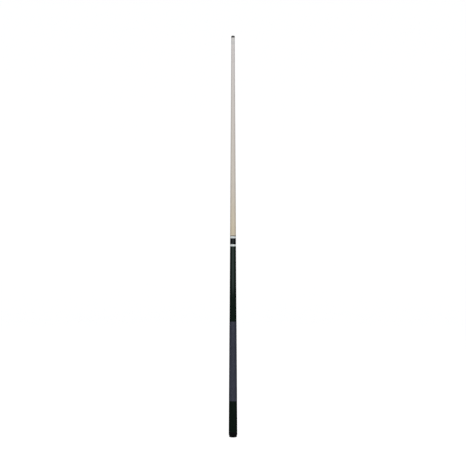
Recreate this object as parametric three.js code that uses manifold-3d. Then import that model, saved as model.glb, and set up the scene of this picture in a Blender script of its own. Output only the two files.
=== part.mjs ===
// A two-piece pool cue, standing upright on its rubber bumper. A tapered maple shaft, with a ferrule
// and a leather tip, screws onto a stained butt that has a thread-wound grip, a plastic cap and a
// weight bolt hidden in its end. Millimetres. +Z runs up the cue's axis from butt to tip, and the
// origin is the middle of the bumper's foot.

import * as THREE from "three";
import { mergeVertices } from "three/addons/utils/BufferGeometryUtils.js";
import Module from "manifold-3d";

const wasm = await Module();
wasm.setup();

// ---- Driving dimensions ----------------------------------------------------------------------
const CUE_LENGTH = 1473.2; // 58 inches
const SHAFT_LENGTH = 744; // from the joint face to the top of the tip, so the joint is just below the middle
const JOINT_GAP = 0.1; // running gap between the two joint faces, so that the shaft can turn
const GLUE_LINE = 0.02; // gap left for glue between faces
const GLUE_WALL = 0.15; // gap left for glue around a tenon

// Radii of the finished outside.
const TIP_RADIUS = 6.5;
const JOINT_RADIUS = 10.75;
const BUTT_RADIUS = 15.9;

// Heights above the floor, and lengths, of the butt's outside pieces.
const BUMPER_HEIGHT = 8.5;
const CAP_TOP = 20;
const GRIP_BOTTOM = 133;
const GRIP_TOP = 424;
const JOINT_RING_LENGTH = 7.3;
const JOINT_COLLAR_LENGTH = 22;

// Lengths of the shaft's outside pieces.
const SHAFT_COLLAR_LENGTH = 7.5;
const SHAFT_TRIM_LENGTH = 2.5;
const FERRULE_LENGTH = 25.4;
const PAD_THICKNESS = 0.8;
const TIP_HEIGHT = 7.2;
const TIP_DOME_RADIUS = 10.6;
const STRAIGHT_END = 40; // the shaft keeps the tip's radius this far down from the tip
const TAPER_SOFTNESS = 0.03; // how gently the straight end turns into the cone

// Tenons and bores that hold the pieces together.
const RING_TENON_RADIUS = 7.95; // carries the collars and rings on both sides of the joint
const FERRULE_TENON_RADIUS = 3.95;
const BUTT_TENON_RADIUS = 9.5; // runs from the grip down through the sleeve into the cap
const CAP_FLOOR = 3.5;
const WRAP_DEPTH = 0.8; // depth of the channel in the handle
const WRAP_PROUD = 0.2; // how far the winding stands above the wood
const HANDLE_SPIGOT_LENGTH = 12;

// Joint screw: 5/16 inch, 18 threads to the inch.
const JOINT_THREAD = { pitch: 25.4 / 18, crest: 3.92, root: 3.2, segments: 20 };
const THREAD_CLEARANCE = 0.2;
const PIN_EXPOSED = 25.4;
const PIN_NECK = 2.2; // plain length between the joint face and the first thread
const PIN_BURIED = 38;
const PIN_RADIUS = 3.97;
const INSERT_LENGTH = 26;
const INSERT_RADIUS = 5.5;

// Hidden stud between forearm and handle: 3/8 inch, 10 threads to the inch.
const STUD_THREAD = { pitch: 25.4 / 10, crest: 4.7, root: 3.7, segments: 12 };
const STUD_LENGTH = 56;
const STUD_BORE_RADIUS = 4.85;

// Weight bolt: 1/2 inch, 13 threads to the inch, with a hexagon socket in its lower end.
const WEIGHT_THREAD = { pitch: 25.4 / 13, crest: 6.3, root: 5.35, segments: 12 };
const WEIGHT_LENGTH = 63.5;
const WEIGHT_BOTTOM = 48;
const WEIGHT_BORE_RADIUS = 6.5;
const WEIGHT_BORE_TOP = 113;
const SOCKET_ACROSS_FLATS = 8;
const SOCKET_DEPTH = 9;

const DRILL_POINT = 2; // height of the cone that a drill leaves at the end of a blind hole
const SEGMENTS = 36; // facets around every turned piece

const JOINT_FACE = CUE_LENGTH - SHAFT_LENGTH;
const COLLAR_BOTTOM = JOINT_FACE - JOINT_COLLAR_LENGTH;
const RING_BOTTOM = COLLAR_BOTTOM - JOINT_RING_LENGTH;
const SHAFT_TOP = SHAFT_LENGTH - JOINT_GAP; // in the shaft's own frame, which starts at its joint face

// ---- Outside shape ---------------------------------------------------------------------------

// The butt is one straight cone from the cap up to the joint.
function buttRadius(z) {
  const share = (z - BUMPER_HEIGHT) / (JOINT_FACE - BUMPER_HEIGHT);
  return THREE.MathUtils.lerp(BUTT_RADIUS, JOINT_RADIUS, share);
}

// The shaft's radius at a height above its own joint face: a cone that eases into a short straight end.
function shaftRadius(z) {
  const cone = SHAFT_TOP - STRAIGHT_END;
  const share = Math.max(0, (cone - z) / cone);
  const eased = Math.hypot(share, TAPER_SOFTNESS) - TAPER_SOFTNESS;
  const full = Math.hypot(1, TAPER_SOFTNESS) - TAPER_SOFTNESS;
  return THREE.MathUtils.lerp(TIP_RADIUS, JOINT_RADIUS, eased / full);
}

// ---- Turning, threading and joining ----------------------------------------------------------

// Turns a profile of [radius, height] pairs about +Z. A profile runs up the outside.
function turn(profile, segments = SEGMENTS) {
  const points = profile.map(([radius, height]) => new THREE.Vector2(radius, height));
  return new THREE.LatheGeometry(points, segments).rotateX(Math.PI / 2);
}

// A tube or ring: its profile closes on itself.
function turnRing(profile) {
  return turn([...profile, profile[0]]);
}

function cylinder(radius, bottom, top) {
  return turn([[0, bottom], [radius, bottom], [radius, top], [0, top]]);
}

// A right-hand V thread round +Z, long enough to cover bottom to top. Its phase depends only on
// origin, so a pin and a nut cut from the same origin are in mesh.
function threadedRod({ pitch, crest, root, segments }, origin, bottom, top) {
  const firstTurn = Math.floor((bottom - origin) / pitch) - 1;
  const turns = Math.ceil((top - bottom) / pitch) + 2;
  const start = origin + firstTurn * pitch;
  const positions = [];
  const last = turns * segments;
  for (let step = 0; step <= last + segments; step++) {
    const angle = (step / segments) * 2 * Math.PI;
    const height = start + (step / segments) * pitch;
    positions.push(root * Math.cos(angle), root * Math.sin(angle), height);
    positions.push(crest * Math.cos(angle), crest * Math.sin(angle), height + pitch / 2);
  }
  const rootAt = (step) => 2 * step;
  const crestAt = (step) => 2 * step + 1;
  const faces = [];
  for (let step = 0; step < last; step++) {
    const next = step + 1;
    faces.push(rootAt(step), rootAt(next), crestAt(next), rootAt(step), crestAt(next), crestAt(step));
    const above = step + segments;
    faces.push(crestAt(step), crestAt(next), rootAt(above + 1));
    faces.push(crestAt(step), rootAt(above + 1), rootAt(above));
  }
  // Each end is a fan from the axis to the loop made of one turn of root and one step of crest.
  const endLoop = (step) => {
    const loop = Array.from({ length: segments + 1 }, (_, i) => rootAt(step + i));
    return [...loop, crestAt(step)];
  };
  const middle = positions.length / 3;
  positions.push(0, 0, start, 0, 0, start + (turns + 1) * pitch);
  const lower = endLoop(0);
  const upper = endLoop(last);
  lower.forEach((vertex, i) => faces.push(middle, lower[(i + 1) % lower.length], vertex));
  upper.forEach((vertex, i) => faces.push(middle + 1, vertex, upper[(i + 1) % upper.length]));
  const geometry = new THREE.BufferGeometry();
  geometry.setAttribute("position", new THREE.Float32BufferAttribute(positions, 3));
  geometry.setIndex(faces);
  return geometry;
}

// A closed geometry as a manifold-3d solid.
function toSolid(geometry) {
  const bare = geometry.clone();
  bare.deleteAttribute("normal");
  bare.deleteAttribute("uv");
  const merged = mergeVertices(bare, 1e-4);
  const vertProperties = merged.attributes.position.array;
  const triVerts = new Uint32Array(merged.index.array);
  return new wasm.Manifold(new wasm.Mesh({ numProp: 3, vertProperties, triVerts }));
}

function toGeometry(solid) {
  const mesh = solid.getMesh();
  const geometry = new THREE.BufferGeometry();
  geometry.setAttribute("position", new THREE.BufferAttribute(mesh.vertProperties, 3));
  geometry.setIndex(new THREE.BufferAttribute(mesh.triVerts, 1));
  geometry.computeVertexNormals();
  return geometry;
}

function piece(name, material, base, geometry) {
  const mesh = new THREE.Mesh(geometry, material);
  mesh.name = name;
  mesh.position.z = base;
  return mesh;
}

// ---- Materials -------------------------------------------------------------------------------

function finish(color, roughness, metalness = 0) {
  return new THREE.MeshStandardMaterial({ color, roughness, metalness });
}

const LEATHER = finish("#3a3835", 0.85);
const FIBRE = finish("#1c1a19", 0.7);
const FERRULE_WHITE = finish("#eeece4", 0.3);
const MAPLE = finish("#d9c8ab", 0.4);
const RING_WHITE = finish("#e2e4e3", 0.25);
const RING_DARK = finish("#2b2824", 0.3);
const BLACK_PLASTIC = finish("#101214", 0.2);
const GREEN_STAIN = finish("#122720", 0.18);
const WRAP_LINEN = finish("#3b3d4a", 0.75);
const BRASS = finish("#b8934a", 0.35, 1);
const STAINLESS = finish("#b9bcbe", 0.3, 1);
const PLAIN_STEEL = finish("#7d7f82", 0.45, 1);
const RUBBER = finish("#151515", 0.9);

// ---- Butt ------------------------------------------------------------------------------------

// The bumper's ribbed stem pushes into the bore of the cap and pulls out again.
function bumper() {
  const foot = 11.2;
  const edge = 3;
  const shoulder = 14.9;
  const stem = 6;
  const rib = 6.4;
  const stemTop = BUMPER_HEIGHT + 12;
  const ribs = [2.5, 5.5, 8.5].flatMap((above) => {
    const at = BUMPER_HEIGHT + above;
    return [[stem, at - 1], [rib, at - 0.6], [rib, at], [stem, at + 0.6]];
  });
  const roundedFoot = [0, 0.25, 0.5, 0.75, 1].map((share) => {
    const angle = (share * Math.PI) / 2;
    return [foot + edge * Math.sin(angle), edge * (1 - Math.cos(angle))];
  });
  const top = BUMPER_HEIGHT - GLUE_LINE;
  const profile = [
    [0, 0],
    ...roundedFoot,
    [shoulder, top],
    [stem, top],
    ...ribs,
    [stem, stemTop - 1],
    [stem - 1, stemTop],
    [0, stemTop],
  ];
  return piece("bumper", RUBBER, 0, turn(profile));
}

function buttCap() {
  const height = CAP_TOP - BUMPER_HEIGHT - GLUE_LINE;
  const edge = 0.7;
  const bore = BUTT_TENON_RADIUS + GLUE_WALL;
  const profile = [
    [WEIGHT_BORE_RADIUS, 0],
    [BUTT_RADIUS - edge, 0],
    [buttRadius(BUMPER_HEIGHT + edge), edge],
    [buttRadius(CAP_TOP), height],
    [bore, height],
    [bore, CAP_FLOOR],
    [WEIGHT_BORE_RADIUS, CAP_FLOOR],
  ];
  return piece("butt_cap", BLACK_PLASTIC, BUMPER_HEIGHT, turnRing(profile));
}

function buttSleeve() {
  const height = GRIP_BOTTOM - CAP_TOP - GLUE_LINE;
  const bore = BUTT_TENON_RADIUS + GLUE_WALL;
  const profile = [
    [bore, 0],
    [buttRadius(CAP_TOP), 0],
    [buttRadius(GRIP_BOTTOM), height],
    [bore, height],
  ];
  return piece("butt_sleeve", GREEN_STAIN, CAP_TOP, turnRing(profile));
}

// The handle's lower tenon carries the sleeve and the cap, and is bored for the weight bolt.
function handleCore() {
  const bottom = BUMPER_HEIGHT + CAP_FLOOR + GLUE_LINE;
  const coreRadius = (z) => buttRadius(z) - WRAP_DEPTH - GLUE_LINE;
  const spigotTop = GRIP_TOP + HANDLE_SPIGOT_LENGTH;
  const studHoleBottom = spigotTop - 42;
  const profile = [
    [0, WEIGHT_BORE_TOP + DRILL_POINT],
    [WEIGHT_BORE_RADIUS, WEIGHT_BORE_TOP],
    [WEIGHT_BORE_RADIUS, bottom],
    [BUTT_TENON_RADIUS, bottom],
    [BUTT_TENON_RADIUS, GRIP_BOTTOM],
    [coreRadius(GRIP_BOTTOM), GRIP_BOTTOM],
    [coreRadius(GRIP_TOP), GRIP_TOP - GLUE_LINE],
    [RING_TENON_RADIUS, GRIP_TOP - GLUE_LINE],
    [RING_TENON_RADIUS, spigotTop],
    [STUD_BORE_RADIUS, spigotTop],
    [STUD_BORE_RADIUS, studHoleBottom],
    [0, studHoleBottom - DRILL_POINT],
  ].map(([radius, z]) => [radius, z - bottom]);
  return piece("handle_core", MAPLE, bottom, turn(profile));
}

// The winding fills the shallow channel round the handle and stands slightly proud of the wood.
function gripWrap() {
  const length = GRIP_TOP - GRIP_BOTTOM - 2 * GLUE_LINE;
  const profile = [
    [buttRadius(GRIP_BOTTOM) - WRAP_DEPTH, 0],
    [buttRadius(GRIP_BOTTOM) + WRAP_PROUD, 0],
    [buttRadius(GRIP_TOP) + WRAP_PROUD, length],
    [buttRadius(GRIP_TOP) - WRAP_DEPTH, length],
  ];
  return piece("grip_wrap", WRAP_LINEN, GRIP_BOTTOM + GLUE_LINE, turnRing(profile));
}

function handleStud() {
  const centre = GRIP_TOP + HANDLE_SPIGOT_LENGTH / 2 - 4;
  const half = STUD_LENGTH / 2;
  const { crest, root } = STUD_THREAD;
  const chamfer = crest - root;
  const blank = [
    [0, -half],
    [root, -half],
    [crest + 0.1, chamfer - half],
    [crest + 0.1, half - chamfer],
    [root, half],
    [0, half],
  ];
  const thread = toSolid(threadedRod(STUD_THREAD, 0, -half, half));
  const stud = thread.intersect(toSolid(turn(blank, STUD_THREAD.segments)));
  return piece("handle_stud", PLAIN_STEEL, centre, toGeometry(stud));
}

// The forearm takes the handle's spigot and stud below, and carries the joint's rings and pin above.
function forearm() {
  const spigotBore = RING_TENON_RADIUS + GLUE_WALL;
  const spigotEnd = HANDLE_SPIGOT_LENGTH + GLUE_LINE;
  const studHoleTop = spigotEnd + 22;
  const shoulder = RING_BOTTOM - GRIP_TOP;
  const top = JOINT_FACE - GRIP_TOP;
  const pinBore = PIN_RADIUS + GLUE_WALL;
  const pinHoleBottom = top - PIN_BURIED - 2;
  const profile = [
    [0, studHoleTop + DRILL_POINT],
    [STUD_BORE_RADIUS, studHoleTop],
    [STUD_BORE_RADIUS, spigotEnd],
    [spigotBore, spigotEnd],
    [spigotBore, 0],
    [buttRadius(GRIP_TOP), 0],
    [buttRadius(RING_BOTTOM), shoulder],
    [RING_TENON_RADIUS, shoulder],
    [RING_TENON_RADIUS, top],
    [pinBore, top],
    [pinBore, pinHoleBottom],
    [0, pinHoleBottom - DRILL_POINT],
  ];
  return piece("forearm", GREEN_STAIN, GRIP_TOP, turn(profile));
}

function jointRing() {
  const bore = RING_TENON_RADIUS + GLUE_WALL;
  const profile = [
    [bore, GLUE_LINE],
    [buttRadius(RING_BOTTOM), GLUE_LINE],
    [buttRadius(COLLAR_BOTTOM), JOINT_RING_LENGTH],
    [bore, JOINT_RING_LENGTH],
  ];
  return piece("joint_ring", RING_WHITE, RING_BOTTOM, turnRing(profile));
}

function jointCollar() {
  const bore = RING_TENON_RADIUS + GLUE_WALL;
  const edge = 0.3;
  const profile = [
    [bore, GLUE_LINE],
    [buttRadius(COLLAR_BOTTOM), GLUE_LINE],
    [JOINT_RADIUS, JOINT_COLLAR_LENGTH - edge],
    [JOINT_RADIUS - edge, JOINT_COLLAR_LENGTH],
    [bore, JOINT_COLLAR_LENGTH],
  ];
  return piece("joint_collar", BLACK_PLASTIC, COLLAR_BOTTOM, turnRing(profile));
}

// The pin's plain lower half is glued into the forearm by its grooves. Its thread stands out of the face.
function jointPin() {
  const grooveRadius = 3.4;
  const noseRadius = 2;
  const noseLength = 3;
  const grooves = [0, 1, 2, 3, 4].flatMap((i) => {
    const at = 4 + 7 * i - PIN_BURIED;
    return [[PIN_RADIUS, at], [grooveRadius, at + 0.6], [grooveRadius, at + 2.4], [PIN_RADIUS, at + 3]];
  });
  const blank = [
    [0, -PIN_BURIED],
    [PIN_RADIUS - 0.6, -PIN_BURIED],
    [PIN_RADIUS, 0.6 - PIN_BURIED],
    ...grooves,
    [PIN_RADIUS, -0.4],
    [JOINT_THREAD.root - 0.1, 0.4],
    [JOINT_THREAD.root - 0.1, PIN_EXPOSED - noseLength - 1],
    [0, PIN_EXPOSED - noseLength - 1],
  ];
  const envelope = [
    [0, PIN_NECK - 0.7],
    [JOINT_THREAD.root - 0.1, PIN_NECK - 0.7],
    [PIN_RADIUS + 0.1, PIN_NECK + 0.3],
    [PIN_RADIUS + 0.1, PIN_EXPOSED - noseLength],
    [noseRadius, PIN_EXPOSED],
    [0, PIN_EXPOSED],
  ];
  const rod = toSolid(threadedRod(JOINT_THREAD, 0, 0, PIN_EXPOSED));
  const thread = rod.intersect(toSolid(turn(envelope, JOINT_THREAD.segments)));
  const pin = toSolid(turn(blank, JOINT_THREAD.segments)).add(thread);
  return piece("joint_pin", STAINLESS, JOINT_FACE, toGeometry(pin));
}

function weightBolt() {
  const { crest, root } = WEIGHT_THREAD;
  const chamfer = crest - root;
  const blank = [
    [0, 0],
    [root, 0],
    [crest + 0.1, chamfer],
    [crest + 0.1, WEIGHT_LENGTH - chamfer],
    [root, WEIGHT_LENGTH],
    [0, WEIGHT_LENGTH],
  ];
  const socketRadius = SOCKET_ACROSS_FLATS / 2 / Math.cos(Math.PI / 6);
  const socket = new THREE.CylinderGeometry(socketRadius, socketRadius, 2 * SOCKET_DEPTH, 6);
  const thread = toSolid(threadedRod(WEIGHT_THREAD, 0, 0, WEIGHT_LENGTH));
  const bolt = thread
    .intersect(toSolid(turn(blank, WEIGHT_THREAD.segments)))
    .subtract(toSolid(socket.rotateX(Math.PI / 2)));
  return piece("weight_bolt", PLAIN_STEEL, WEIGHT_BOTTOM, toGeometry(bolt));
}

// ---- Shaft, in its own frame with z = 0 at its joint face --------------------------------------

function shaftCollar() {
  const bore = RING_TENON_RADIUS + GLUE_WALL;
  const edge = 0.3;
  const profile = [
    [bore, 0],
    [JOINT_RADIUS - edge, 0],
    [JOINT_RADIUS, edge],
    [shaftRadius(SHAFT_COLLAR_LENGTH), SHAFT_COLLAR_LENGTH],
    [bore, SHAFT_COLLAR_LENGTH],
  ];
  return piece("shaft_collar", RING_WHITE, 0, turnRing(profile));
}

function shaftTrimRing() {
  const bore = RING_TENON_RADIUS + GLUE_WALL;
  const lower = SHAFT_COLLAR_LENGTH;
  const profile = [
    [bore, 2 * GLUE_LINE],
    [shaftRadius(lower), 2 * GLUE_LINE],
    [shaftRadius(lower + SHAFT_TRIM_LENGTH), SHAFT_TRIM_LENGTH],
    [bore, SHAFT_TRIM_LENGTH],
  ];
  return piece("shaft_trim_ring", RING_DARK, lower, turnRing(profile));
}

const WOOD_BOTTOM = SHAFT_COLLAR_LENGTH + SHAFT_TRIM_LENGTH + GLUE_LINE;
const WOOD_TOP = SHAFT_TOP - TIP_HEIGHT - PAD_THICKNESS - FERRULE_LENGTH;

// The maple shaft: bored for the insert below, with a tenon for the ferrule above.
function shaftBlank() {
  const insertBore = INSERT_RADIUS + GLUE_WALL;
  const insertHole = INSERT_LENGTH + 1;
  const relief = PIN_RADIUS + 0.4;
  const reliefTop = insertHole + 7;
  const coneTop = SHAFT_TOP - STRAIGHT_END;
  const steps = 8;
  const taper = Array.from({ length: steps + 1 }, (_, i) => {
    const z = THREE.MathUtils.lerp(WOOD_BOTTOM, coneTop, i / steps);
    return [shaftRadius(z), z];
  });
  const profile = [
    [0, reliefTop + DRILL_POINT],
    [relief, reliefTop],
    [relief, insertHole],
    [insertBore, insertHole],
    [insertBore, 0],
    [RING_TENON_RADIUS, 0],
    [RING_TENON_RADIUS, WOOD_BOTTOM],
    ...taper,
    [TIP_RADIUS, WOOD_TOP],
    [FERRULE_TENON_RADIUS, WOOD_TOP],
    [FERRULE_TENON_RADIUS, WOOD_TOP + FERRULE_LENGTH - GLUE_LINE],
    [0, WOOD_TOP + FERRULE_LENGTH - GLUE_LINE],
  ];
  return piece("shaft", MAPLE, 0, turn(profile));
}

// The brass insert: glue grooves outside, and inside a thread in mesh with the pin.
function shaftInsert() {
  const groove = INSERT_RADIUS - 0.5;
  const mouth = PIN_RADIUS + 0.5;
  const grooves = [5, 11, 17].flatMap((at) => [
    [INSERT_RADIUS, at],
    [groove, at + 0.5],
    [groove, at + 2.5],
    [INSERT_RADIUS, at + 3],
  ]);
  const blank = [
    [0, 0],
    [INSERT_RADIUS, 0],
    ...grooves,
    [INSERT_RADIUS, INSERT_LENGTH],
    [0, INSERT_LENGTH],
  ];
  const looser = {
    ...JOINT_THREAD,
    crest: JOINT_THREAD.crest + THREAD_CLEARANCE,
    root: JOINT_THREAD.root + THREAD_CLEARANCE,
  };
  // The pin's thread starts from the butt's joint face, which is JOINT_GAP below the shaft's.
  const thread = toSolid(threadedRod(looser, -JOINT_GAP, -2, INSERT_LENGTH + 2));
  const countersink = turn([
    [0, -1],
    [mouth, -1],
    [mouth, PIN_NECK],
    [looser.root - 0.2, PIN_NECK + 1],
    [0, PIN_NECK + 1],
  ], JOINT_THREAD.segments);
  const insert = toSolid(turn(blank, JOINT_THREAD.segments)).subtract(thread).subtract(toSolid(countersink));
  return piece("shaft_insert", BRASS, 0, toGeometry(insert));
}

function ferrule() {
  const bore = FERRULE_TENON_RADIUS + GLUE_WALL;
  const height = FERRULE_LENGTH - GLUE_LINE;
  const profile = [
    [bore, 0],
    [TIP_RADIUS, 0],
    [TIP_RADIUS, height],
    [bore, height],
  ];
  return piece("ferrule", FERRULE_WHITE, WOOD_TOP + GLUE_LINE, turnRing(profile));
}

function tipPad() {
  const base = WOOD_TOP + FERRULE_LENGTH + GLUE_LINE;
  return piece("tip_pad", FIBRE, base, cylinder(TIP_RADIUS, 0, PAD_THICKNESS - GLUE_LINE));
}

// The leather tip: straight sides under a domed top.
function tip() {
  const base = WOOD_TOP + FERRULE_LENGTH + PAD_THICKNESS + GLUE_LINE;
  const height = SHAFT_TOP - base;
  const domeAngle = Math.asin(TIP_RADIUS / TIP_DOME_RADIUS);
  const domeCentre = height - TIP_DOME_RADIUS;
  const steps = 5;
  const dome = Array.from({ length: steps + 1 }, (_, i) => {
    const angle = domeAngle * (1 - i / steps);
    return [TIP_DOME_RADIUS * Math.sin(angle), domeCentre + TIP_DOME_RADIUS * Math.cos(angle)];
  });
  return piece("tip", LEATHER, base, turn([[0, 0], [TIP_RADIUS, 0], ...dome]));
}

// ---- Assembly --------------------------------------------------------------------------------

const butt = new THREE.Group();
butt.add(
  bumper(), buttCap(), weightBolt(), buttSleeve(), handleCore(), gripWrap(),
  handleStud(), forearm(), jointRing(), jointCollar(), jointPin(),
);

const shaft = new THREE.Group();
shaft.position.z = JOINT_FACE + JOINT_GAP;
shaft.add(
  shaftCollar(), shaftTrimRing(), shaftBlank(), shaftInsert(), ferrule(), tipPad(), tip(),
);

const cue = new THREE.Group();
cue.add(butt, shaft);

export default cue;
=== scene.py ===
"""The looks of a two-piece pool cue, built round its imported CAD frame. Metres, with +Z up."""

import math
from collections import namedtuple

import bmesh
import bpy
import numpy as np
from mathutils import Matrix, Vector

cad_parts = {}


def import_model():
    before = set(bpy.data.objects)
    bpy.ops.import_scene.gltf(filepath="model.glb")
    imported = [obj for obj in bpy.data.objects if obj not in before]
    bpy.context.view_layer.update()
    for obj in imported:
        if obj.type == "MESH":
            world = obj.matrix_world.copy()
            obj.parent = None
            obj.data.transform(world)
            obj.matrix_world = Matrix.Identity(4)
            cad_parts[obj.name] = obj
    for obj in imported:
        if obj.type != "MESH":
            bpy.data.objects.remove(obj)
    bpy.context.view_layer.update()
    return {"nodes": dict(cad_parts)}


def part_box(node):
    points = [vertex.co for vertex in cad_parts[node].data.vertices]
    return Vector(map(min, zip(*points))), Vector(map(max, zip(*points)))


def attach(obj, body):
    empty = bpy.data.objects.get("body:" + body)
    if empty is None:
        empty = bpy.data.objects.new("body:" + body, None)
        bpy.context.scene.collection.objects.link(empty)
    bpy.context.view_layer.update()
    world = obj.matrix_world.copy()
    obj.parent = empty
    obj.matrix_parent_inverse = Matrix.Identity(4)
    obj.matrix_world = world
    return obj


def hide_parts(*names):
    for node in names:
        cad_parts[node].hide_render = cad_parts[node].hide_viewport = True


MM = 0.001
WELD = 1e-7  # points closer together than this become one
ROUND = 128  # facets round a turned piece
CORNER_STEPS = 5  # facets across a rounded corner

# Screw threads, as in the CAD. The pitch is an inch divided by the turns to the inch.
Thread = namedtuple("Thread", "pitch depth")
JOINT_THREAD = Thread(25.4 / 18 * MM, 0.72 * MM)
STUD_THREAD = Thread(25.4 / 10 * MM, 1.0 * MM)
WEIGHT_THREAD = Thread(25.4 / 13 * MM, 0.95 * MM)
THREAD_CLEARANCE = 0.2 * MM  # between the pin's thread and the insert's
THREAD_ROWS = 12  # rows of points in one turn
THREAD_ROUND = 72  # facets round a threaded piece
ROD_CHAMFER = 1.2 * MM  # length of the chamfered end of a threaded rod

# The wound grip.
LINEN_PITCH = 0.7 * MM
LINEN_GROOVE = 0.13 * MM  # depth between one turn and the next
LINEN_THICKNESS = 0.95 * MM
LINEN_ROWS = 4
LINEN_ROUND = 56

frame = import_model()


# ---- Sizes, all taken from the CAD nodes -------------------------------------------------------


def bottom(node):
    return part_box(node)[0].z


def top(node):
    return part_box(node)[1].z


def widest(node):
    low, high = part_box(node)
    return (high.x - low.x) / 2


def levels(node, low, high):
    """The CAD node's outer radius at each of its heights between low and high."""
    largest = {}
    for vertex in frame["nodes"][node].data.vertices:
        height = round(vertex.co.z, 6)
        if low - 1e-5 <= height <= high + 1e-5:
            radius = math.hypot(vertex.co.x, vertex.co.y)
            largest[height] = max(radius, largest.get(height, 0))
    return sorted(largest.items())


def rim(node, height):
    """The CAD node's outer radius at one of its heights."""
    return levels(node, height, height)[0][1]


FOOT = bottom("bumper")
JOINT_FACE = top("joint_collar")
SHAFT_FACE = bottom("shaft_collar")
JOINT_RADIUS = widest("shaft_collar")

# The pin's thread, which the insert's has to mesh with.
PIN_RADIUS = widest("joint_pin")
PIN_ROOT = PIN_RADIUS - 0.05 * MM - JOINT_THREAD.depth
PIN_THREAD_START = JOINT_FACE + 1.9 * MM

# Radii of the tenons and bores that are hidden when the cue is together.
TENON = 7.95 * MM  # of shaft and forearm in their collars, and of the handle in the forearm
TENON_BORE = 8.1 * MM
LONG_TENON = 9.5 * MM  # of the handle in the sleeve and the cap
LONG_TENON_BORE = 9.65 * MM
FERRULE_TENON = 3.95 * MM
STUD_BORE = 4.85 * MM
BOLT_BORE = 6.5 * MM

GLUE_GAP = 0.02 * MM  # between two faces that are glued together
DRILL_POINT = 2 * MM  # length of the cone at the end of a drilled hole


# ---- Mesh building -----------------------------------------------------------------------------


def soften(corners):
    """Rounds a profile's corners. Each one is (radius, height) or (radius, height, rounding)."""
    points = []
    count = len(corners)
    for i, corner in enumerate(corners):
        here = Vector(corner[:2])
        rounding = corner[2] if len(corner) > 2 else 0
        if not rounding:
            points.append(tuple(here))
            continue
        before = Vector(corners[(i - 1) % count][:2]) - here
        after = Vector(corners[(i + 1) % count][:2]) - here
        start = here + before.normalized() * min(rounding, before.length * 0.45)
        end = here + after.normalized() * min(rounding, after.length * 0.45)
        for step in range(CORNER_STEPS + 1):
            share = step / CORNER_STEPS
            curve = start * (1 - share) ** 2 + here * 2 * share * (1 - share) + end * share**2
            points.append(tuple(curve))
    return points


def curve_up(flat, bend, steps):
    """The profile of a quarter circle that bends a flat floor of this radius up into a wall."""
    points = []
    for step in range(steps + 1):
        angle = step / steps * math.pi / 2
        points.append((flat + bend * math.sin(angle), FOOT + bend * (1 - math.cos(angle))))
    return points


class Shell:
    """Gathers turned and threaded surfaces, then welds them into one closed mesh."""

    def __init__(self, segments=ROUND):
        self.segments = segments
        self.vertices = []
        self.faces = []

    def spin(self, profile, closed=False):
        """Turns a profile of (radius, height) pairs about +Z. A radius may depend on the angle."""
        first = len(self.vertices)
        for radius, height in profile:
            for step in range(self.segments):
                angle = 2 * math.pi * step / self.segments
                reach = radius(angle) if callable(radius) else radius
                self.vertices.append((reach * math.cos(angle), reach * math.sin(angle), height))
        rows = len(profile) if closed else len(profile) - 1
        for row in range(rows):
            here = first + row * self.segments
            above = first + (row + 1) % len(profile) * self.segments
            for step in range(self.segments):
                ahead = (step + 1) % self.segments
                self.faces.append((here + step, here + ahead, above + ahead, above + step))
        return self

    def wind(self, low, high, pitch, rows, radius_at):
        """A surface that winds up +Z from low to high. radius_at(phase, height) gives its radius.
        Phase runs from 0 to 1 across one turn, and must make no difference at low and high."""
        first = len(self.vertices)
        segments = self.segments
        count = math.ceil((high - low) / pitch) * rows + rows + 1
        for row in range(-rows, count):
            for step in range(segments):
                height = low + pitch * (row / rows + step / segments)
                height = min(max(height, low), high)
                angle = 2 * math.pi * step / segments
                radius = radius_at((row % rows) / rows, height)
                self.vertices.append((radius * math.cos(angle), radius * math.sin(angle), height))
        total = count + rows
        for row in range(total - 1):
            for step in range(segments):
                here = first + row * segments + step
                if step < segments - 1:
                    ahead = here + 1
                elif row + rows + 1 < total:
                    ahead = first + (row + rows) * segments
                else:
                    continue
                self.faces.append((here, ahead, ahead + segments, here + segments))
        return self

    def screw(self, thread, root, low, high, run_out=0.0):
        """A V thread with small flats at root and crest. It runs out over half a turn at each end,
        to its root if run_out is 0, as on a rod, or to its crest if run_out is 1, as in a hole."""

        def radius_at(phase, height):
            rise = 1 - abs(2 * phase - 1)
            rise = min(1.0, max(0.0, rise * 1.3 - 0.15))
            end = min(height - low, high - height)
            fade = min(1.0, max(0.0, end / (thread.pitch * 0.5)))
            return root + thread.depth * (run_out + (rise - run_out) * fade)

        return self.wind(low, high, thread.pitch, THREAD_ROWS, radius_at)

    def build(self, name, material, sharp=35):
        """Welds the surfaces into an object. Edges sharper than this many degrees stay sharp."""
        mesh = bpy.data.meshes.new(name)
        mesh.from_pydata(self.vertices, [], self.faces)
        work = bmesh.new()
        work.from_mesh(mesh)
        bmesh.ops.remove_doubles(work, verts=work.verts, dist=WELD)
        bmesh.ops.dissolve_degenerate(work, edges=work.edges, dist=WELD)
        loose = [vertex for vertex in work.verts if not vertex.link_faces]
        bmesh.ops.delete(work, geom=loose, context="VERTS")
        bmesh.ops.recalc_face_normals(work, faces=work.faces)
        work.to_mesh(mesh)
        work.free()
        mesh.shade_smooth()
        mesh.set_sharp_from_angle(angle=math.radians(sharp))
        mesh.materials.append(material)
        piece = bpy.data.objects.new(name, mesh)
        bpy.context.scene.collection.objects.link(piece)
        return piece


def place(piece, body, node):
    """Puts a piece on its body, in the stead of its CAD node."""
    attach(piece, body)
    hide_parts(node)
    return piece


def paint_faces(piece, material, wanted):
    """Gives a second material to the faces whose centre passes a test of (radius, height)."""
    piece.data.materials.append(material)
    index = len(piece.data.materials) - 1
    for face in piece.data.polygons:
        centre = face.center
        if wanted(math.hypot(centre.x, centre.y), centre.z):
            face.material_index = index


# ---- Material building -------------------------------------------------------------------------


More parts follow.
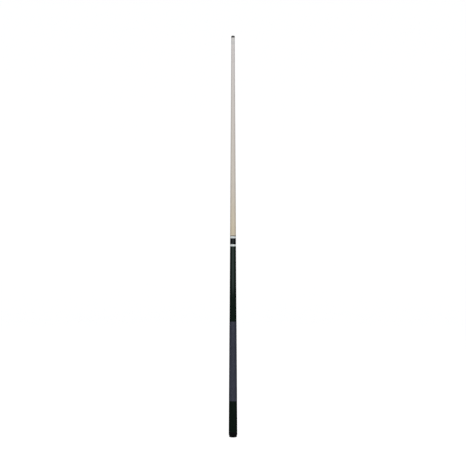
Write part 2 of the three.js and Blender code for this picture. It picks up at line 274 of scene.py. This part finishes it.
def linear(code):
    """A linear colour from a hex code."""
    values = [int(code[i : i + 2], 16) / 255 for i in (1, 3, 5)]
    return [v / 12.92 if v <= 0.04045 else ((v + 0.055) / 1.055) ** 2.4 for v in values] + [1.0]


def feed(tree, socket, value):
    """Sets a socket to a value, or links it to the socket that the value comes from."""
    if isinstance(value, bpy.types.NodeSocket):
        tree.links.new(value, socket)
    else:
        socket.default_value = value


def add_node(tree, kind, inputs=None, **settings):
    made = tree.nodes.new("ShaderNode" + kind)
    for name, value in settings.items():
        setattr(made, name, value)
    for name, value in (inputs or {}).items():
        feed(tree, made.inputs[name], value)
    return made


class Paint:
    """A material with one Principled shader, and short ways to add nodes to it."""

    def __init__(self, name, **values):
        self.material = bpy.data.materials.new(name)
        self.material.use_nodes = True
        self.tree = self.material.node_tree
        self.shader = self.tree.nodes["Principled BSDF"]
        self.object = self.node("TexCoord").outputs["Object"]
        self.set(**values)

    def set(self, **values):
        """Sets the shader's inputs, such as base_color for its Base Color."""
        for name, value in values.items():
            label = name.replace("_", " ").title().replace("Ior", "IOR")
            feed(self.tree, self.shader.inputs[label], value)

    def node(self, kind, inputs=None, **settings):
        return add_node(self.tree, kind, inputs, **settings)

    def stretched(self, x, y, z):
        """The place on the piece, scaled along each axis, so that 1 is the size of a feature."""
        return self.node("Mapping", {"Vector": self.object, "Scale": (x, y, z)}).outputs["Vector"]

    def noise(self, scales, detail=3.0, roughness=0.5, distortion=0.0):
        inputs = {
            "Vector": self.stretched(*scales),
            "Scale": 1.0,
            "Detail": detail,
            "Roughness": roughness,
            "Distortion": distortion,
        }
        return self.node("TexNoise", inputs).outputs["Fac"]

    def bands(self, scales, distortion, detail=2.0):
        inputs = {
            "Vector": self.stretched(*scales),
            "Scale": 1.0,
            "Distortion": distortion,
            "Detail": detail,
            "Detail Scale": 1.4,
        }
        return self.node("TexWave", inputs, wave_type="BANDS", bands_direction="X").outputs["Fac"]

    def spread(self, value, low, high, to_low=0.0, to_high=1.0):
        """Maps low..high to to_low..to_high, and stops at both ends."""
        inputs = {
            "Value": value,
            "From Min": low,
            "From Max": high,
            "To Min": to_low,
            "To Max": to_high,
        }
        return self.node("MapRange", inputs, clamp=True).outputs["Result"]

    def maths(self, operation, a, b=0.0):
        return self.node("Math", {0: a, 1: b}, operation=operation).outputs["Value"]

    def blend(self, share, a, b):
        """Mixes two colours, from all a where the share is 0 to all b where it is 1."""
        return self.node("Mix", {"Factor": share, 6: a, 7: b}, data_type="RGBA").outputs[2]

    def tint(self, colour, mask, most, code):
        """Mixes in the coded colour by the mask, up to this share."""
        return self.blend(self.maths("MULTIPLY", mask, most), colour, linear(code))

    def height(self):
        return self.node("SeparateXYZ", {0: self.object}).outputs["Z"]

    def distance_from_axis(self):
        parts = self.node("SeparateXYZ", {0: self.object}).outputs
        squares = [self.maths("MULTIPLY", parts[i], parts[i]) for i in (0, 1)]
        return self.maths("SQRT", self.maths("ADD", *squares))

    def bump(self, height, distance, strength=1.0):
        inputs = {"Height": height, "Distance": distance, "Strength": strength}
        return self.node("Bump", inputs).outputs["Normal"]


# ---- Materials ---------------------------------------------------------------------------------


def wood_figure(paint, offset=0.0):
    """Straight maple figure along +Z: growth bands with a late edge, streaks, fibres and flecks."""
    bands = paint.bands((120.0, 30.0, 1.9 + offset), 3.4, 3.0)
    broad = paint.spread(bands, 0.05, 0.9)
    late = paint.spread(bands, 0.86, 0.99)
    streaks = paint.spread(paint.noise((1150.0, 1150.0, 13.0 + offset), 6.0, 0.66), 0.36, 0.66)
    fibres = paint.spread(paint.noise((5200.0, 5200.0, 85.0), 3.0, 0.6), 0.36, 0.7)
    flecks = paint.spread(paint.noise((2600.0, 2600.0, 210.0), 2.0), 0.63, 0.71)
    return broad, late, streaks, fibres, flecks


def maple():
    """Sealed pale maple."""
    paint = Paint("sealed_maple", coat_weight=0.35, coat_roughness=0.22)
    broad, late, streaks, fibres, flecks = wood_figure(paint)
    colour = paint.blend(broad, linear("#e0d1b8"), linear("#d9c7aa"))
    colour = paint.tint(colour, late, 0.5, "#c4ab86")
    colour = paint.tint(colour, streaks, 0.55, "#efe6d6")
    colour = paint.tint(colour, fibres, 0.22, "#bfa681")
    colour = paint.tint(colour, flecks, 0.4, "#a78a65")
    # Painted light: the shaft turns paler and greyer towards the tip, a painted brightening of its
    # upper length.
    start, middle, end = SHAFT_FACE + 0.04, SHAFT_FACE + 0.17, SHAFT_FACE + 0.67
    near = paint.spread(paint.height(), start, middle, 0.0, 0.36)
    far = paint.spread(paint.height(), middle, end, 0.0, 0.36)
    colour = paint.blend(paint.maths("ADD", near, far), colour, linear("#ddd8dd"))
    rough = paint.spread(streaks, 0.0, 1.0, 0.34, 0.46)
    grain = paint.maths("SUBTRACT", streaks, paint.maths("MULTIPLY", fibres, 0.6))
    paint.set(base_color=colour, roughness=rough, normal=paint.bump(grain, 0.014 * MM))
    return paint.material


def end_grain():
    """Turned end grain of the tenons, seen at the joint faces when the cue is apart."""
    paint = Paint("maple_end_grain", roughness=0.62)
    rings = paint.bands((260.0, 60.0, 1.0), 1.6)
    pores = paint.noise((5200.0, 5200.0, 40.0), 2.0)
    colour = paint.blend(paint.spread(rings, 0.1, 0.9), linear("#c8ad82"), linear("#a88a5e"))
    colour = paint.blend(paint.spread(pores, 0.55, 0.7, 0.0, 0.6), colour, linear("#735735"))
    turned = paint.maths("SINE", paint.maths("MULTIPLY", paint.distance_from_axis(), 42000.0))
    paint.set(base_color=colour, normal=paint.bump(turned, 0.01 * MM))
    return paint.material


def green_lacquer():
    """Wood stained dark green under clear gloss lacquer, with orange peel and rubbed patches."""
    paint = Paint("green_lacquered_maple", roughness=0.42, specular_ior_level=0.15, coat_weight=1.0)
    broad, late, streaks, fibres, flecks = wood_figure(paint, 0.6)
    colour = paint.blend(broad, linear("#091c14"), linear("#05120d"))
    colour = paint.tint(colour, late, 0.6, "#030a07")
    colour = paint.tint(colour, streaks, 0.55, "#102719")
    colour = paint.tint(colour, fibres, 0.4, "#040d09")
    colour = paint.tint(colour, flecks, 0.5, "#030806")
    peel = paint.bump(paint.noise((520.0, 520.0, 300.0), 1.0), 0.02 * MM, 0.5)
    rubbed = paint.spread(paint.noise((70.0, 70.0, 22.0), 4.0, 0.6), 0.45, 0.75, 0.04, 0.13)
    paint.set(base_color=colour, coat_roughness=rubbed, coat_normal=peel)
    paint.set(normal=paint.bump(streaks, 0.01 * MM))
    return paint.material


def linen():
    """Pressed linen thread: short two-tone flecks along each turn, and a soft sheen."""
    paint = Paint("slate_linen", roughness=0.58, sheen_weight=0.12, sheen_roughness=0.4)
    flecks = paint.noise((520.0, 520.0, 1900.0), 3.0, 0.6)
    strands = paint.noise((1500.0, 1500.0, 5200.0), 2.0)
    patches = paint.noise((60.0, 60.0, 26.0), 2.0)
    colour = paint.blend(paint.spread(flecks, 0.36, 0.62), linear("#262836"), linear("#3a3d4e"))
    colour = paint.blend(paint.spread(flecks, 0.62, 0.72, 0.0, 0.75), colour, linear("#6e7180"))
    colour = paint.blend(paint.spread(patches, 0.35, 0.7, 0.0, 0.3), colour, linear("#444759"))
    rough = paint.spread(patches, 0.3, 0.7, 0.5, 0.64)
    paint.set(base_color=colour, roughness=rough, normal=paint.bump(strands, 0.05 * MM, 0.7))
    return paint.material


def gloss_plastic(name, colour, other, roughness=0.16, subsurface=0.0):
    """Turned and polished plastic: a slight cloudiness, fine lathe rings and rub marks."""
    paint = Paint(name, subsurface_weight=subsurface, specular_ior_level=0.5)
    paint.set(subsurface_radius=(1.0 * MM, 1.0 * MM, 0.8 * MM))
    cloud = paint.spread(paint.noise((240.0, 240.0, 160.0), 3.0), 0.3, 0.7)
    rubs = paint.noise((700.0, 700.0, 9000.0), 2.0)
    rough = paint.spread(rubs, 0.35, 0.7, roughness, roughness + 0.12)
    paint.set(
        base_color=paint.blend(cloud, linear(colour), linear(other)),
        roughness=rough,
        normal=paint.bump(rubs, 0.004 * MM),
    )
    return paint.material


def leather():
    paint = Paint("tip_leather", roughness=0.88, specular_ior_level=0.3)
    fibres = paint.noise((2600.0, 2600.0, 1500.0), 5.0, 0.65)
    turns = paint.maths("MULTIPLY", paint.height(), 2 * math.pi / (0.9 * MM))
    layers = paint.maths("SINE", turns)
    colour = paint.blend(paint.spread(fibres, 0.35, 0.68), linear("#353432"), linear("#6a6864"))
    colour = paint.blend(paint.spread(layers, 0.5, 1.0, 0.0, 0.3), colour, linear("#121110"))
    # Scuffed and dusted with grey where it meets the ball.
    crown = paint.spread(paint.height(), top("tip") - 2.6 * MM, top("tip") - 0.4 * MM)
    dust = paint.maths("MULTIPLY", crown, paint.spread(fibres, 0.42, 0.6, 0.1, 0.6))
    colour = paint.blend(dust, colour, linear("#83858a"))
    paint.set(base_color=colour, normal=paint.bump(fibres, 0.09 * MM))
    return paint.material


def fibre():
    paint = Paint("vulcanised_fibre", roughness=0.7)
    strands = paint.noise((3200.0, 3200.0, 9000.0), 4.0)
    colour = paint.blend(paint.spread(strands, 0.35, 0.7), linear("#121110"), linear("#2c2926"))
    paint.set(base_color=colour, normal=paint.bump(strands, 0.02 * MM))
    return paint.material


def rubber():
    paint = Paint("moulded_rubber", specular_ior_level=0.2)
    grain = paint.noise((4200.0, 4200.0, 4200.0), 4.0, 0.6)
    bloom = paint.noise((130.0, 130.0, 220.0), 4.0, 0.6)
    colour = paint.blend(paint.spread(bloom, 0.4, 0.75), linear("#0a0909"), linear("#141212"))
    # Grey scuffs where the foot rubs on the floor.
    low = paint.spread(paint.height(), FOOT, FOOT + 2.2 * MM, 1.0, 0.0)
    scuff = paint.maths("MULTIPLY", low, paint.spread(grain, 0.5, 0.66, 0.0, 0.5))
    colour = paint.blend(scuff, colour, linear("#4a4846"))
    rough = paint.spread(bloom, 0.3, 0.7, 0.62, 0.82)
    paint.set(base_color=colour, roughness=rough, normal=paint.bump(grain, 0.035 * MM))
    return paint.material


def machined(name, colour, other, roughness):
    """Turned metal with fine tool marks round it."""
    paint = Paint(name, metallic=1.0)
    marks = paint.noise((300.0, 300.0, 14000.0), 3.0, 0.6)
    stain = paint.noise((420.0, 420.0, 420.0), 4.0)
    rough = paint.spread(stain, 0.3, 0.75, roughness, roughness + 0.18)
    paint.set(
        base_color=paint.blend(paint.spread(stain, 0.35, 0.75), linear(colour), linear(other)),
        roughness=rough,
        normal=paint.bump(marks, 0.006 * MM),
    )
    return paint.material


MAPLE = maple()
END_GRAIN = end_grain()
GREEN = green_lacquer()
LINEN = linen()
LEATHER = leather()
FIBRE = fibre()
RUBBER = rubber()
FERRULE_WHITE = gloss_plastic("ferrule_white", "#dcd8d6", "#d2cdcb", 0.24, 0.15)
RING_WHITE = gloss_plastic("ring_white", "#ecefef", "#e0e4e4", 0.14, 0.12)
RING_DARK = gloss_plastic("ring_dark", "#2a2622", "#191613")
BLACK = gloss_plastic("black_plastic", "#0c0d0f", "#121416", 0.12)
STAINLESS = machined("stainless", "#c4c6c7", "#a9abad", 0.22)
PLAIN_STEEL = machined("plain_steel", "#8c8e90", "#6e6f70", 0.38)
BRASS = machined("brass", "#c9a25a", "#a98443", 0.28)


# ---- Butt --------------------------------------------------------------------------------------


def bumper():
    """A moulded foot with a shallow ring in its flat, and a ribbed stem."""
    wide = widest("bumper")
    shoulder = bottom("butt_cap")
    stem_top = top("bumper")
    stem, rib = 6.0 * MM, 6.4 * MM
    ribs = []
    for above in (2.5, 5.5, 8.5):
        middle = shoulder + above * MM
        ribs += [
            (stem, middle - 1.0 * MM, 0.2 * MM),
            (rib, middle - 0.5 * MM, 0.15 * MM),
            (rib, middle, 0.15 * MM),
            (stem, middle + 0.5 * MM, 0.2 * MM),
        ]
    groove_top = FOOT + 0.35 * MM
    groove = [
        (8.6 * MM, FOOT, 0.1 * MM),
        (8.9 * MM, groove_top, 0.1 * MM),
        (9.3 * MM, groove_top, 0.1 * MM),
        (9.6 * MM, FOOT, 0.1 * MM),
    ]
    upper = [
        (wide, shoulder - GLUE_GAP, 0.5 * MM),
        (stem, shoulder - GLUE_GAP, 0.4 * MM),
        *ribs,
        (stem, stem_top, 0.9 * MM),
        (0, stem_top),
    ]
    profile = soften([(0, FOOT), *groove, *curve_up(11.2 * MM, 3 * MM, 12), *upper])
    piece = Shell().spin(profile).build("bumper_visual", RUBBER)
    return place(piece, "bumper_body", "bumper")


def collar(name, node, body, material, radii, roundings):
    """A tube round a tenon. radii and roundings are for its lower and upper outside edges."""
    low, high = bottom(node), top(node)
    bore = TENON + 0.1 * MM
    profile = soften([
        (bore, low),
        (radii[0], low, roundings[0]),
        (radii[1], high, roundings[1]),
        (bore, high),
    ])
    piece = Shell().spin(profile, closed=True).build(name, material)
    return place(piece, body, node)


def butt_cap():
    """A cap with a hole in its end for the bumper's stem."""
    low, high = bottom("butt_cap"), top("butt_cap")
    end_top = low + 3.5 * MM
    profile = soften([
        (BOLT_BORE, low, 0.3 * MM),
        (widest("butt_cap"), low, 0.9 * MM),
        (widest("butt_sleeve"), high, 0.04 * MM),
        (LONG_TENON_BORE, high),
        (LONG_TENON_BORE, end_top),
        (BOLT_BORE, end_top),
    ])
    piece = Shell().spin(profile, closed=True).build("butt_cap_visual", BLACK)
    return place(piece, "butt_body", "butt_cap")


def butt_sleeve():
    low, high = bottom("butt_sleeve"), top("butt_sleeve")
    profile = soften([
        (LONG_TENON_BORE, low),
        (widest("butt_sleeve"), low, 0.04 * MM),
        (rim("butt_sleeve", high), high, 0.12 * MM),
        (LONG_TENON_BORE, high),
    ])
    piece = Shell().spin(profile, closed=True).build("butt_sleeve_visual", GREEN)
    return place(piece, "butt_body", "butt_sleeve")


def grip_wrap():
    """Linen thread wound side by side from end to end and pressed, a little proud of the wood."""
    low, high = bottom("grip_wrap"), top("grip_wrap")
    low_radius, high_radius = widest("grip_wrap"), rim("grip_wrap", high)
    pressed, settle = 0.12 * MM, 0.35 * MM  # depth and height of the dip at either end

    def radius_at(phase, height):
        share = (height - low) / (high - low)
        crest = low_radius + (high_radius - low_radius) * share
        end = min(height - low, high - height)
        fade = min(1.0, end / settle)
        groove = (1 - math.sin(math.pi * phase)) ** 1.5
        return crest - pressed * (1 - fade) - LINEN_GROOVE * groove * fade - GLUE_GAP

    shell = Shell(LINEN_ROUND)
    shell.wind(low, high, LINEN_PITCH, LINEN_ROWS, radius_at)
    shell.spin([
        (radius_at(0, high), high),
        (high_radius - LINEN_THICKNESS, high),
        (low_radius - LINEN_THICKNESS, low),
        (radius_at(0, low), low),
    ])
    piece = shell.build("grip_wrap_visual", LINEN, sharp=75)
    return place(piece, "butt_body", "grip_wrap")


def handle_core():
    """The wood under the grip: a long tenon for sleeve and cap, and a short spigot on top."""
    low, high = bottom("handle_core"), top("handle_core")
    channel, shoulder = bottom("grip_wrap"), bottom("forearm") - GLUE_GAP
    bore_top = top("weight_bolt") + 1.5 * MM
    stud_hole = bottom("handle_stud") - 2 * MM
    profile = soften([
        (0, bore_top + DRILL_POINT),
        (BOLT_BORE, bore_top),
        (BOLT_BORE, low, 0.3 * MM),
        (LONG_TENON, low, 0.5 * MM),
        (LONG_TENON, channel),
        (widest("handle_core"), channel, 0.15 * MM),
        (rim("handle_core", shoulder), shoulder, 0.15 * MM),
        (TENON, shoulder),
        (TENON, high, 0.6 * MM),
        (STUD_BORE, high, 0.4 * MM),
        (STUD_BORE, stud_hole),
        (0, stud_hole - DRILL_POINT),
    ])
    piece = Shell().spin(profile).build("handle_core_visual", MAPLE)
    paint_faces(piece, END_GRAIN, lambda radius, height: radius < LONG_TENON - 0.1 * MM)
    return place(piece, "butt_body", "handle_core")


def rod_end(root, end, inward):
    """The chamfered end of a threaded rod. inward is 1 at the lower end and -1 at the upper end."""
    return soften([
        (0, end),
        (root - 0.5 * MM, end, 0.3 * MM),
        (root, end + inward * 0.6 * MM, 0.3 * MM),
        (root, end + inward * ROD_CHAMFER),
    ])


def run_thread(shell, thread, root, low, high):
    """The thread of a rod, between its chamfers, and its upper end."""
    shell.screw(thread, root, low + ROD_CHAMFER, high - ROD_CHAMFER)
    return shell.spin(rod_end(root, high, -1)[::-1])


def handle_stud():
    """A double-ended wood stud between handle and forearm."""
    low, high = bottom("handle_stud"), top("handle_stud")
    root = widest("handle_stud") - STUD_THREAD.depth
    shell = Shell(THREAD_ROUND).spin(rod_end(root, low, 1))
    run_thread(shell, STUD_THREAD, root, low, high)
    piece = shell.build("handle_stud_visual", PLAIN_STEEL)
    return place(piece, "butt_body", "handle_stud")


def weight_bolt():
    """The weight bolt, with a hexagon socket in its lower end."""
    low, high = bottom("weight_bolt"), top("weight_bolt")
    root = widest("weight_bolt") - WEIGHT_THREAD.depth
    half_flats = 4 * MM
    socket_top = low + 9 * MM

    def hexagon(angle):
        return half_flats / math.cos(angle % (math.pi / 3) - math.pi / 6)

    shell = Shell(THREAD_ROUND)
    shell.spin([(0, socket_top), (hexagon, socket_top), (hexagon, low)])
    shell.spin([(hexagon, low), *rod_end(root, low, 1)[1:]])
    run_thread(shell, WEIGHT_THREAD, root, low, high)
    piece = shell.build("weight_bolt_visual", PLAIN_STEEL)
    return place(piece, "butt_body", "weight_bolt")


def forearm():
    """Bored below for the handle and its stud, with a tenon and the pin's hole above."""
    low, high = bottom("forearm"), top("forearm")
    shoulder = bottom("joint_ring") - GLUE_GAP
    pin = PIN_RADIUS + 0.1 * MM
    pin_hole = bottom("joint_pin") - 2 * MM
    spigot_end = top("handle_core") + GLUE_GAP
    stud_hole = top("handle_stud") + 4 * MM
    profile = soften([
        (0, stud_hole + DRILL_POINT),
        (STUD_BORE, stud_hole),
        (STUD_BORE, spigot_end),
        (TENON_BORE, spigot_end),
        (TENON_BORE, low),
        (widest("forearm"), low, 0.12 * MM),
        (widest("joint_ring"), shoulder, 0.03 * MM),
        (TENON, shoulder),
        (TENON, high, 0.1 * MM),
        (pin, high, 0.25 * MM),
        (pin, pin_hole),
        (0, pin_hole - DRILL_POINT),
    ])
    piece = Shell().spin(profile).build("forearm_visual", GREEN)
    paint_faces(piece, END_GRAIN, lambda radius, height: radius < TENON + 0.01 * MM)
    return place(piece, "butt_body", "forearm")


def joint_pin():
    """Stainless pin: a rolled thread up to a rounded nose, above a grooved length in the wood."""
    buried, nose = bottom("joint_pin"), top("joint_pin")
    thread_end = nose - 2.0 * MM
    groove = 3.4 * MM
    grooves = []
    for i in range(5):
        start = buried + (4 + 7 * i) * MM
        grooves += [
            (PIN_RADIUS, start, 0.1 * MM),
            (groove, start + 0.6 * MM),
            (groove, start + 2.4 * MM),
            (PIN_RADIUS, start + 3 * MM, 0.1 * MM),
        ]
    lower = soften([
        (0, buried),
        (PIN_RADIUS, buried, 0.6 * MM),
        *grooves,
        (PIN_RADIUS, JOINT_FACE - 0.2 * MM, 0.1 * MM),
        (PIN_ROOT, JOINT_FACE + 0.5 * MM, 0.2 * MM),
        (PIN_ROOT, PIN_THREAD_START),
    ])
    upper = soften([
        (PIN_ROOT, thread_end),
        (PIN_ROOT, thread_end + 0.3 * MM, 0.2 * MM),
        (2.1 * MM, nose - 0.2 * MM, 0.5 * MM),
        (1.2 * MM, nose, 0.4 * MM),
        (0, nose),
    ])
    shell = Shell(THREAD_ROUND).spin(lower)
    shell.screw(JOINT_THREAD, PIN_ROOT, PIN_THREAD_START, thread_end)
    piece = shell.spin(upper).build("joint_pin_visual", STAINLESS)
    return place(piece, "butt_body", "joint_pin")


# ---- Shaft -------------------------------------------------------------------------------------


def shaft_insert():
    """Brass insert with a thread in mesh with the pin's, and a countersunk mouth."""
    low, high = bottom("shaft_insert"), top("shaft_insert")
    wide = widest("shaft_insert")
    root = PIN_ROOT + THREAD_CLEARANCE
    groove = root + JOINT_THREAD.depth
    start, end = PIN_THREAD_START + JOINT_THREAD.pitch, high - 0.4 * MM
    outside = soften([
        (groove, end),
        (groove, high, 0.1 * MM),
        (wide, high, 0.3 * MM),
        (wide, low, 0.15 * MM),
        (wide - 1.0 * MM, low, 0.2 * MM),
        (groove, start - 0.5 * MM, 0.1 * MM),
        (groove, start),
    ])
    shell = Shell(THREAD_ROUND).spin(outside)
    shell.screw(JOINT_THREAD, root, start, end, run_out=1.0)
    piece = shell.build("shaft_insert_visual", BRASS)
    return place(piece, "shaft_body", "shaft_insert")


def shaft():
    """The maple shaft follows the CAD taper through a smooth curve, with a tenon at each end."""
    low, high = top("shaft_trim_ring"), bottom("ferrule")
    taper = [level for level in levels("shaft", low, high) if level[1] > 6.4 * MM]
    heights, radii = zip(*taper)
    fine = np.linspace(heights[0], heights[-1], 97)
    smooth = np.interp(fine, heights, radii)
    for _ in range(6):
        smooth[1:-1] = (smooth[:-2] + 2 * smooth[1:-1] + smooth[2:]) / 4
    outside = [(float(radius), float(height)) for radius, height in zip(smooth, fine)]
    bore = widest("shaft_insert") + 0.05 * MM
    bore_top = SHAFT_FACE + 27 * MM
    end = SHAFT_FACE + 0.03 * MM
    lower = soften([
        (0, bore_top),
        (bore, bore_top),
        (bore, end, 0.1 * MM),
        (TENON, end, 0.1 * MM),
        (TENON, heights[0]),
    ])
    upper = [(FERRULE_TENON, heights[-1]), (FERRULE_TENON, top("shaft")), (0, top("shaft"))]
    piece = Shell().spin([*lower, *outside, *upper]).build("shaft_visual", MAPLE)

    def on_lower_tenon(radius, height):
        return height < heights[0] and radius < TENON + 0.01 * MM

    paint_faces(piece, END_GRAIN, on_lower_tenon)
    return place(piece, "shaft_body", "shaft")


def ferrule():
    low, high = bottom("ferrule"), top("ferrule")
    bore = FERRULE_TENON + 0.1 * MM
    profile = soften([
        (bore, low),
        (widest("ferrule"), low, 0.03 * MM),
        (widest("ferrule"), high, 0.06 * MM),
        (bore, high),
    ])
    piece = Shell().spin(profile, closed=True).build("ferrule_visual", FERRULE_WHITE)
    return place(piece, "shaft_body", "ferrule")


def tip_pad():
    low, high = bottom("tip_pad"), top("tip_pad")
    profile = soften([
        (0, low),
        (widest("tip_pad"), low, 0.08 * MM),
        (widest("tip_pad"), high, 0.08 * MM),
        (0, high),
    ])
    piece = Shell().spin(profile).build("tip_pad_visual", FIBRE)
    return place(piece, "shaft_body", "tip_pad")


def leather_tip():
    """Pressed leather with straight burnished sides and a scuffed dome."""
    low, high = bottom("tip"), top("tip")
    wide = widest("tip")
    dome = 10.6 * MM  # radius of the domed end
    edge = math.asin(wide / dome)
    centre = high - dome
    steps = 26
    profile = soften([
        (0, low),
        (wide - 0.03 * MM, low, 0.1 * MM),
        (wide, low + 1.2 * MM),
        (wide, centre + dome * math.cos(edge) - 0.35 * MM),
    ])
    for step in range(steps + 1):
        angle = edge * (0.985 - 0.985 * step / steps)
        profile.append((dome * math.sin(angle), centre + dome * math.cos(angle)))
    piece = Shell().spin(profile).build("tip_visual", LEATHER)
    # The dome is worn a little uneven, more so towards its crown.
    random = np.random.default_rng(7)
    count = 14
    waves = random.normal(0, 900, (count, 3))
    shifts = random.uniform(0, 2 * math.pi, count)
    for vertex in piece.data.vertices:
        above = min(1.0, max(0.0, (vertex.co.z - low - 3.6 * MM) / (2 * MM)))
        rough = float(np.sin(waves @ np.array(vertex.co) + shifts).mean())
        vertex.co.z -= above * (0.06 * MM + 0.14 * MM * rough) * 0.6
    return place(piece, "shaft_body", "tip")


# ---- Studio ------------------------------------------------------------------------------------

VIEW_HEIGHT = 1.710  # how much of the upright plane through the cue the camera takes in
VIEW_CENTRE = 0.7487
LENS = 100
SENSOR = 36
DISTANCE = VIEW_HEIGHT * LENS / SENSOR

# The floor is flat as far as FLOOR_RADIUS, and bends up from there into the wall.
FLOOR_RADIUS = 6.5
FLOOR_BEND = 3
WALL_TOP = 14.0


def camera():
    """Level with the middle of the view, straight in front of the cue."""
    data = bpy.data.cameras.new("camera")
    data.lens = LENS
    data.sensor_width = SENSOR
    data.clip_end = 60
    made = bpy.data.objects.new("camera", data)
    made.location = (0, -DISTANCE, VIEW_CENTRE)
    made.rotation_euler = (math.pi / 2, 0, 0)
    bpy.context.scene.collection.objects.link(made)
    bpy.context.scene.camera = made
    return made


def softbox(name, parent, place_at, aim, size, power):
    """A soft lamp carried by the camera, so that every side of the cue is lit as the front is."""
    data = bpy.data.lights.new(name, "AREA")
    data.shape = "RECTANGLE"
    data.size, data.size_y = size
    data.energy = power
    lamp = bpy.data.objects.new(name, data)
    bpy.context.scene.collection.objects.link(lamp)
    lamp.parent = parent
    lamp.location = place_at
    direction = Vector(aim) - Vector(place_at)
    lamp.rotation_mode = "QUATERNION"
    lamp.rotation_quaternion = direction.to_track_quat("-Z", "Y")
    lamp.visible_camera = False
    return lamp


def fade_edges(lamp, across, upright):
    """Dims a softbox towards its edges, over these shares of its size, to soften its reflection."""
    lamp.data.use_nodes = True
    tree = lamp.data.node_tree
    place_on_lamp = add_node(tree, "NewGeometry").outputs["Parametric"]
    axes = add_node(tree, "SeparateXYZ", {0: place_on_lamp}).outputs
    fades = []
    for i, share in enumerate((across, upright)):
        from_edge = add_node(tree, "Math", {0: axes[i], 1: 0.5}, operation="PINGPONG").outputs[0]
        inputs = {"Value": from_edge, "From Max": share}
        fade = add_node(tree, "MapRange", inputs, interpolation_type="SMOOTHSTEP")
        fades.append(fade.outputs["Result"])
    both = add_node(tree, "Math", {0: fades[0], 1: fades[1]}, operation="MULTIPLY")
    feed(tree, tree.nodes["Emission"].inputs["Strength"], both.outputs[0])


def studio():
    """A wide pale floor that curves up into a round wall. It can't be seen from underneath."""
    flat = [(3.0 + 0.5 * step, FOOT) for step in range(7)]
    wall = (FLOOR_RADIUS + FLOOR_BEND, WALL_TOP)
    profile = [(0.0, FOOT), *flat, *curve_up(FLOOR_RADIUS, FLOOR_BEND, 16), wall]
    paint = Paint("studio", base_color=linear("#bcbcbc"), roughness=0.9)
    paint.set(emission_color=(1, 1, 1, 1), emission_strength=0.745)
    backs = paint.node("NewGeometry").outputs["Backfacing"]
    clear = paint.node("BsdfTransparent").outputs[0]
    mixed = paint.node("MixShader", {0: backs, 1: paint.shader.outputs[0], 2: clear})
    output = paint.tree.nodes["Material Output"]
    feed(paint.tree, output.inputs["Surface"], mixed.outputs[0])
    floor = Shell(96).spin(profile).build("studio", paint.material)
    centre_face = min(floor.data.polygons, key=lambda face: face.center.length)
    if centre_face.normal.z < 0:
        floor.data.flip_normals()
    floor.visible_glossy = False
    floor.visible_diffuse = False
    # The floor goes with the bumper, which stands on it, when the bumper is pulled out of the butt.
    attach(floor, "bumper_body")
    return floor


def world():
    """Even light from all round for matt surfaces. Glossy ones reflect a soft glow overhead and
    little else, so that upright lacquer stays dark and metal shows its shape."""
    made = bpy.data.worlds.new("world")
    made.use_nodes = True
    made.cycles.sampling_method = "NONE"
    tree = made.node_tree
    direction = add_node(tree, "TexCoord").outputs["Generated"]
    upward = add_node(tree, "SeparateXYZ", {0: direction}).outputs["Z"]
    inputs = {"Value": upward, "From Min": 0.3, "From Max": 0.9, "To Min": 0.03, "To Max": 0.8}
    glow = add_node(tree, "MapRange", inputs, interpolation_type="SMOOTHSTEP").outputs["Result"]
    glossy = add_node(tree, "LightPath").outputs["Is Glossy Ray"]
    inputs = {"Value": glossy, "To Min": 0.44, "To Max": glow}
    strength = add_node(tree, "MapRange", inputs).outputs["Result"]
    background = tree.nodes["Background"]
    feed(tree, background.inputs["Color"], (0.98, 0.99, 1.0, 1))
    feed(tree, background.inputs["Strength"], strength)
    bpy.context.scene.world = made


def set_up_studio():
    """Places here are as the camera sees them: x across, y up, and -z away from it."""
    eye = camera()
    softbox("overhead", eye, (0, 4.2, -1.2), (0, 0, -DISTANCE), (6, 4), 150)
    front = softbox("front", eye, (0, 0.38, -2), (0, 0.38, -DISTANCE), (9, 1.7), 34)
    front.data.color = (0.85, 1.0, 0.99)
    fade_edges(front, 0.5, 0.12)
    studio()
    world()
    settings = bpy.context.scene.view_settings
    settings.view_transform = "Standard"
    settings.look = "None"


# ---- Assembly ----------------------------------------------------------------------------------


bumper()
butt_cap()
weight_bolt()
butt_sleeve()
handle_core()
grip_wrap()
handle_stud()
forearm()
collar(
    "joint_ring_visual", "joint_ring", "butt_body", RING_WHITE,
    (widest("joint_ring"), widest("joint_collar")), (0.03 * MM, 0.03 * MM),
)
collar(
    "joint_collar_visual", "joint_collar", "butt_body", BLACK,
    (widest("joint_collar"), JOINT_RADIUS), (0.03 * MM, 0.35 * MM),
)
joint_pin()
collar(
    "shaft_collar_visual", "shaft_collar", "shaft_travel_body", RING_WHITE,
    (JOINT_RADIUS, widest("shaft_trim_ring")), (0.35 * MM, 0.03 * MM),
)
collar(
    "shaft_trim_ring_visual", "shaft_trim_ring", "shaft_body", RING_DARK,
    (widest("shaft_trim_ring"), rim("shaft_trim_ring", top("shaft_trim_ring"))),
    (0.03 * MM, 0.03 * MM),
)
shaft_insert()
shaft()
ferrule()
tip_pad()
leather_tip()
set_up_studio()
